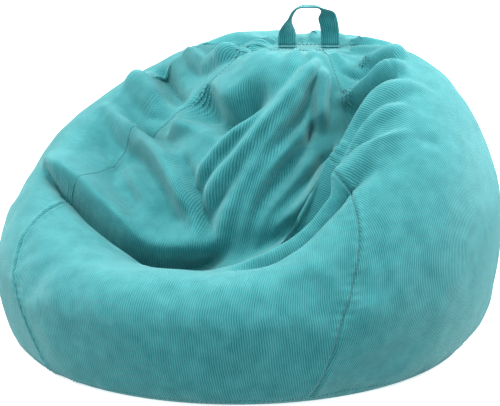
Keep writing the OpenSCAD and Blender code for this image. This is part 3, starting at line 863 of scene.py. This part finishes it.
def under(depth, every):
    """A smooth surface at least this deep under the cloth, and below the bottom of
    its folds, on every so many points."""
    way = grid_normals(PLAIN)
    sink = -((BAG - PLAIN) * way).sum(-1)
    for axis in (0, 1):
        sink = np.max([np.roll(sink, step, axis) for step in range(-SINK_REACH, SINK_REACH + 1)], 0)
    sink = relax(np.maximum(sink, 0)[..., None], SINK_EASE)
    rows = np.unique(np.append(np.arange(0, GORE_ROWS, every), GORE_ROWS - 1))
    p = (PLAIN - way * (depth + SINK_SHARE * sink))[np.ix_(rows, np.arange(0, COLUMNS, every))]
    p[..., 2] = np.maximum(p[..., 2], depth)
    return p


def opened_for_zip(panel, column, way):
    """Draws one edge column back so that the zip's teeth show in the slot."""
    stage = np.arange(GORE_ROWS) / OUTSIDE_ROWS
    first, full, last, end = SLOT_STAGES
    share = smooth((stage - first) / (full - first)) * smooth((end - stage) / (end - last))
    spacing = np.linalg.norm(panel[:, column + way] - panel[:, column], axis=-1)
    reach = (SLOT_HALF_WIDTH * share / np.maximum(spacing, 1e-6))[:, None]
    moved = panel.copy()
    for j in range(SLOT_CROWD):
        at = column + j * way
        moved[:, at] = panel[:, at] + (panel[:, at + way] - panel[:, at]) * reach * (1 - j / SLOT_CROWD)
    return moved


ZIP_EDGES = {"back_panel": (GORE_COLUMNS, -1), "left_panel": (0, 1)}


def gore_panel(node, gore):
    """One gore of the cover. Its wales are spaced by the distances across the bag without its folds."""
    columns = gore_columns(gore)
    outer = BAG[:, columns]
    inner = INNER[:, columns]
    if node in ZIP_EDGES:
        outer, inner = (opened_for_zip(side, *ZIP_EDGES[node]) for side in (outer, inner))
    panel = shell(node + "_cloth", outer, inner)
    across = lengths(PLAIN[:, columns], 1)
    middle = GORE_COLUMNS // 2
    wale = across - across[:, middle, None]
    set_wales(panel, np.concatenate([wale, wale]))
    finished(panel, "cover", "corduroy", CORDUROY, node)


def disc_loops(edge, centre, height):
    """Closed loops of a flat disc, from its middle out to an edge loop."""
    loops = [mix(np.array([*centre, height]), edge, share) for share in DISC_SHARES]
    for loop in loops:
        loop[:, 2] = height
    return loops + [edge]


def round_panel(name, node, low_edge, high_edge, centre, low, high, slot, material):
    """A closed flat disc of cloth between two edges, at two heights."""
    loops = disc_loops(low_edge, centre, low) + disc_loops(high_edge, centre, high)[::-1]
    panel = lofted(name, loops[::-1])
    set_wales(panel, np.concatenate([loop[:, 0] for loop in loops[::-1]]))
    finished(panel, "cover", slot, material, node)


def build_cover():
    """The four gores, the base and the cap."""
    for gore, node in enumerate(("front_panel", "right_panel", "back_panel", "left_panel")):
        gore_panel(node, gore)
    base = BAG[0].copy()
    base[:, 2] = 0
    raised = base.copy()
    raised[:, 2] = COVER
    round_panel("base_panel_cloth", "base_panel", base, raised, (0, 0), 0, COVER, "corduroy", CORDUROY)
    edge = BAG[-1]
    sunk = edge - [0, 0, COVER]
    round_panel("top_cap_cloth", "top_cap", sunk, edge, CAP_CENTRE, CAP_HEIGHT - COVER, CAP_HEIGHT,
                "corduroy", CORDUROY)


# ---------------------------------------------------------------- stitching

def build_stitching():
    """The thread of the cover's seams, its hem and its cap."""
    for seam, node in enumerate(("front_left", "front_right", "back_right", "back_left")):
        column = seam * GORE_COLUMNS
        first = int(ABOVE_ZIP_STAGE * OUTSIDE_ROWS) if node == "back_left" else 4
        path = BAG[first:, column]
        row = stitches(node + "_stitches", path, NORMALS[first:, column])
        finished(row, "cover", "thread", THREAD, node + "_stitching")
    ring = int(BASE_STITCH_STAGE * OUTSIDE_ROWS)
    loop = np.append(np.arange(COLUMNS), 0)
    hem = stitches("base_stitches", BAG[ring, loop], NORMALS[ring, loop])
    finished(hem, "cover", "thread", THREAD, "base_stitching")
    rings = []
    az = np.linspace(0, 360, 181)
    for share in CAP_STITCHES:
        plan = CAP_CENTRE + CAP_RADIUS * share * heading(az)
        rings.append(np.column_stack([plan, np.full(len(az), CAP_HEIGHT)]))
    up = np.tile([0.0, 0, 1], (len(az), 1))
    outer, inner = (stitches("cap_stitches_%d" % i, ring, up) for i, ring in enumerate(rings))
    finished(outer, "cover", "thread", THREAD, "cap_stitching")
    finished(inner, "cover", "thread", THREAD)


# ---------------------------------------------------------------- the carry loop

def strap_loops():
    """Cross-sections of the folded strap, from the left foot over to the right one.
    It shows its face on the right leg and its edge on the left leg and the top."""
    count, sides = 90, 28
    t = np.linspace(0, 1, count)
    a = math.pi * t
    x = CAP_CENTRE[0] - LEG_OFFSET * np.sign(np.cos(a)) * np.abs(np.cos(a)) ** 0.62
    z = STRAP_FOOT + LOOP_HEIGHT * np.sin(a) ** 0.8
    y = CAP_CENTRE[1] + 0.006 * np.sin(2 * a) * np.sin(a)
    centre = np.stack([x, y, z], 1)
    way = units(np.gradient(centre, axis=0))
    twist = np.radians(STRAP_TWIST) * smooth(t / 0.22) * smooth((0.80 - t) / 0.18)
    flat = np.stack([np.cos(twist) * np.where(t < 0.5, 1, -1), np.sin(twist), 0 * t], 1)
    wide = units(flat - (flat * way).sum(1, keepdims=True) * way)
    thick = np.cross(way, wide)
    turn = 2 * math.pi * np.arange(sides) / sides
    c, s = np.cos(turn), np.sin(turn)
    u = np.sign(c) * np.abs(c) ** 0.35 * STRAP_WIDTH / 2
    v = np.sign(s) * np.abs(s) ** 0.8 * STRAP_THICKNESS / 2
    v *= 1 - 0.35 * np.exp(-((np.abs(u) - STRAP_SEAM) / 0.0012) ** 2)
    loops = centre[:, None] + wide[:, None] * u[None, :, None] + thick[:, None] * v[None, :, None]
    return loops, centre, wide, thick, u


def build_handle():
    """The strap with its four rows of stitches, and its two sewn ends."""
    loops, centre, wide, thick, u = strap_loops()
    strap = lofted("handle_strap_cloth", loops)
    set_wales(strap, np.tile(u, len(loops)))
    finished(strap, "handle", "corduroy", CORDUROY, "handle_strap")
    for side in (-1, 1):
        for face in (-1, 1):
            path = centre + wide * side * STRAP_SEAM + thick * face * (STRAP_THICKNESS * 0.33)
            row = stitches("strap_stitches_%d%d" % (side + 1, face + 1), path[3:-3], (thick * face)[3:-3],
                           length=0.0035, gap=0.0018, radius=0.00045)
            finished(row, "handle", "thread", THREAD)
    for side, node in ((-1, "handle_end_left"), (1, "handle_end_right")):
        sewn_end(side, node)


def sewn_end(side, node):
    """A flat end of the strap, sewn down on the cap, with soft corners and edges."""
    sides = 48
    turn = 2 * math.pi * np.arange(sides) / sides
    c, s = np.cos(turn), np.sin(turn)
    x = np.sign(c) * np.abs(c) ** 0.25 * STRAP_WIDTH / 2
    y = np.sign(s) * np.abs(s) ** 0.25 * END_DEPTH / 2
    profile = ((0.05, 0), (0.6, 0), (0.96, 0.02), (1, 0.3), (1, 0.7),
               (0.95, 0.97), (0.86, 0.90), (0.80, 1), (0.05, 1))
    middle = CAP_CENTRE + [side * LEG_OFFSET, 0]
    loops = [np.column_stack([middle[0] + x * share, middle[1] + y * share,
                              np.full(sides, END_BASE + END_THICKNESS * rise)]) for share, rise in profile]
    tab = lofted(node + "_cloth", loops)
    set_wales(tab, np.concatenate([x * share for share, _ in profile]))
    finished(tab, "cover", "corduroy", CORDUROY, node)


# ---------------------------------------------------------------- inside the cover

def build_inside():
    """The liner, in two halves with a base and a top, and the beads in it."""
    liner_out, liner_in = under(LINER_DEPTH, 2), under(LINER_DEPTH + LINER, 2)
    half = GORE_COLUMNS
    for name, start in (("liner_front", 0), ("liner_back", half)):
        columns = [(start + j) % (2 * half) for j in range(half + 1)]
        cloth = shell(name + "_cloth", liner_out[:, columns], liner_in[:, columns])
        finished(cloth, "cover", "liner_cloth", LINER_CLOTH, name)
    for name, row in (("liner_base", 0), ("liner_top", -1)):
        low, high = liner_out[row].copy(), liner_in[row].copy()
        centre = (0, 0) if row == 0 else CAP_CENTRE
        heights = (LINER_DEPTH, LINER_DEPTH + LINER) if row == 0 else (
            CAP_HEIGHT - LINER_DEPTH - LINER, CAP_HEIGHT - LINER_DEPTH)
        low[:, 2], high[:, 2] = heights
        round_panel(name + "_cloth", name, low, high, centre, *heights, "liner_cloth", LINER_CLOTH)
    for number, column in enumerate((0, half)):
        path = liner_out[2:, column]
        normals = NORMALS[::2, ::2][:len(liner_out)][2:, column]
        row = stitches("liner_stitches_%d" % number, path, normals)
        finished(row, "cover", "thread", THREAD, *(["liner_stitching"] if number == 0 else []))
    mass = under(FILLING_DEPTH, 2)
    bottom, top = mass[0].copy(), mass[-1].copy()
    bottom[:, 2] = FILLING_DEPTH
    loops = disc_loops(bottom, (0, 0), FILLING_DEPTH) + list(mass[1:])
    top[:, 2] = CAP_HEIGHT - FILLING_DEPTH
    loops += disc_loops(top, CAP_CENTRE, CAP_HEIGHT - FILLING_DEPTH)[::-1]
    filling = lofted("bead_filling_mass", loops)
    finished(filling, "cover", "beads", BEADS, "bead_filling")


def dress_cad_nodes():
    """The hard and the sewn-in CAD pieces keep their shape and get their material."""
    looks = {
        TAPE: ("zip_tape_left", "zip_tape_right"),
        TEETH: ("zip_teeth_left", "zip_teeth_right"),
        METAL: ("zip_bottom_stop", "zip_top_stops", "zip_slider", "zip_pull"),
        THREAD: ("handle_end_stitching", "handle_bar_tacks"),
        LABEL: ("care_label",),
        PATCH: ("cap_reinforcement",),
    }
    for material, nodes in looks.items():
        for node in nodes:
            mesh = bpy.data.objects[node].data
            mesh.materials.clear()
            mesh.materials.append(material)


# ---------------------------------------------------------------- camera and light

def place_camera():
    """Level across, and looking a little down at the bag from the front."""
    data = bpy.data.cameras.new("camera")
    data.sensor_width = SENSOR
    data.lens = LENS
    camera = bpy.data.objects.new("camera", data)
    bpy.context.scene.collection.objects.link(camera)
    lift = math.radians(CAMERA_LIFT)
    camera.location = CAMERA_AIM + CAMERA_DISTANCE * Vector((0, -math.cos(lift), math.sin(lift)))
    camera.rotation_euler = (CAMERA_AIM - camera.location).to_track_quat("-Z", "Y").to_euler()
    bpy.context.scene.camera = camera


def area_light(name, place, aim, size, power):
    data = bpy.data.lights.new(name, "AREA")
    data.size = size
    data.energy = power
    light = bpy.data.objects.new(name, data)
    light.location = place
    light.rotation_euler = (Vector(aim) - Vector(place)).to_track_quat("-Z", "Y").to_euler()
    bpy.context.scene.collection.objects.link(light)


def studio():
    """Soft white light from all round, brighter from above, over a white floor."""
    world = bpy.data.worlds.new("studio")
    bpy.context.scene.world = world
    world.use_nodes = True
    tree = world.node_tree
    sky = tree.nodes.new("ShaderNodeTexCoord")
    split = tree.nodes.new("ShaderNodeSeparateXYZ")
    tree.links.new(sky.outputs["Generated"], split.inputs[0])
    ramp = tree.nodes.new("ShaderNodeValToRGB")
    ramp.color_ramp.elements[0].position = 0.0
    ramp.color_ramp.elements[0].color = SKY_LOW
    ramp.color_ramp.elements[1].position = SKY_TOP
    ramp.color_ramp.elements[1].color = SKY_HIGH
    tree.links.new(split.outputs["Z"], ramp.inputs[0])
    tree.links.new(ramp.outputs[0], tree.nodes["Background"].inputs[0])
    tree.nodes["Background"].inputs[1].default_value = SKY_STRENGTH
    for lamp in LAMPS:
        area_light(*lamp)
    bpy.ops.mesh.primitive_plane_add(size=30, location=(0, 0, -0.0005))
    floor = bpy.context.object
    floor.name = "floor"
    m = Nodes("floor", 0.9)
    m.shader.inputs["Base Color"].default_value = (0.93, 0.93, 0.93, 1)
    m.shader.inputs["Emission Color"].default_value = (1, 1, 1, 1)
    m.shader.inputs["Emission Strength"].default_value = 0.60
    floor.visible_diffuse = False
    floor.data.materials.append(m.material)


build_cover()
build_stitching()
build_handle()
build_inside()
dress_cad_nodes()
place_camera()
studio()
bpy.context.scene.view_settings.view_transform = "Standard"
